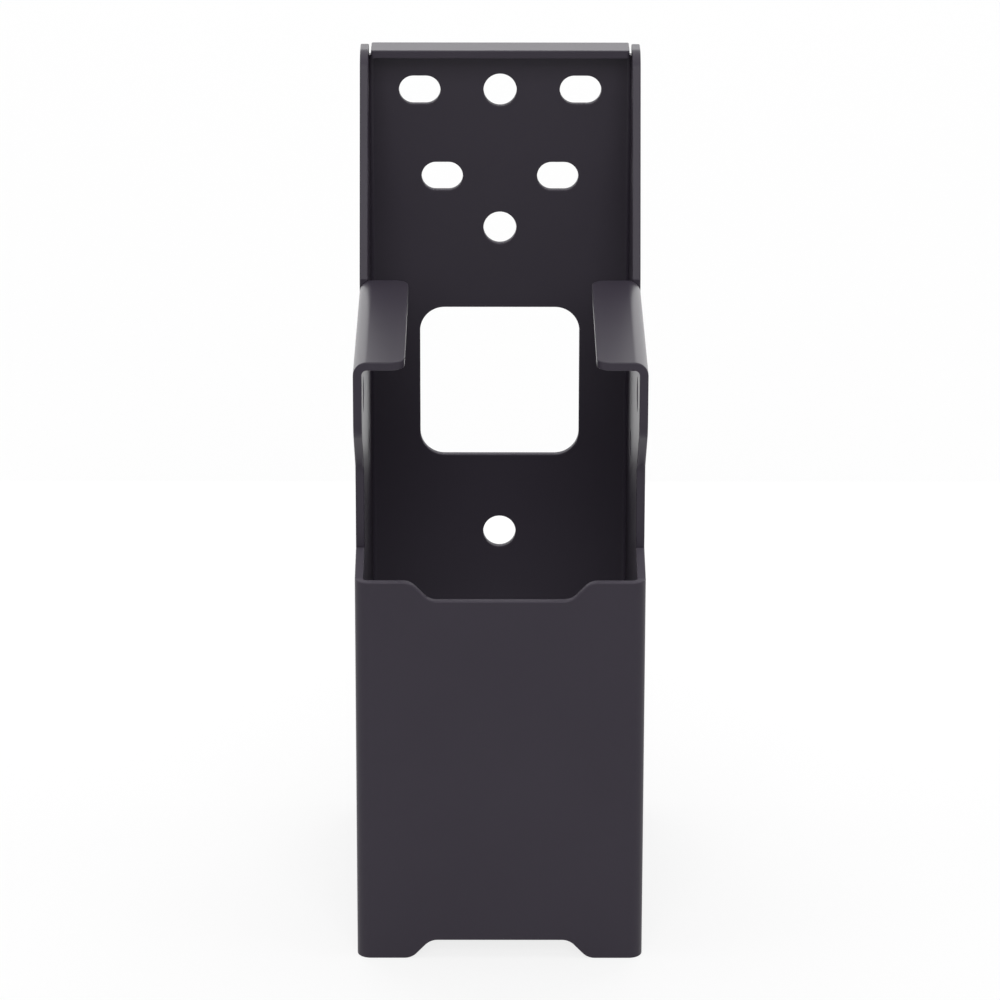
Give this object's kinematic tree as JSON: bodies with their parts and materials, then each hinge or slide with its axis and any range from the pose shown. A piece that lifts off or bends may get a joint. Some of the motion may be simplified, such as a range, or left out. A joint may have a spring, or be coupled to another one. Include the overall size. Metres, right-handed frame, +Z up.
{
  "type": "display mounting plate",
  "caption": "Folded sheet-steel wall bracket: slotted back plate with a cable window, side walls with ears and inward tabs, and a welded front cover over the lower half.",
  "frame": {"origin": "bottom centre of the bounding box, at the level of the bottom edge", "axes": "+Z up along the wall, +Y towards the wall, -Y towards the open front, +X to the right seen from the front"},
  "size_m": [0.067, 0.097, 0.198],
  "materials": {
    "powder_coat": "satin black powder coat"
  },
  "bodies": {
    "root": {"mounting_plate": "powder_coat", "front_cover": "powder_coat"}
  },
  "joints": []
}
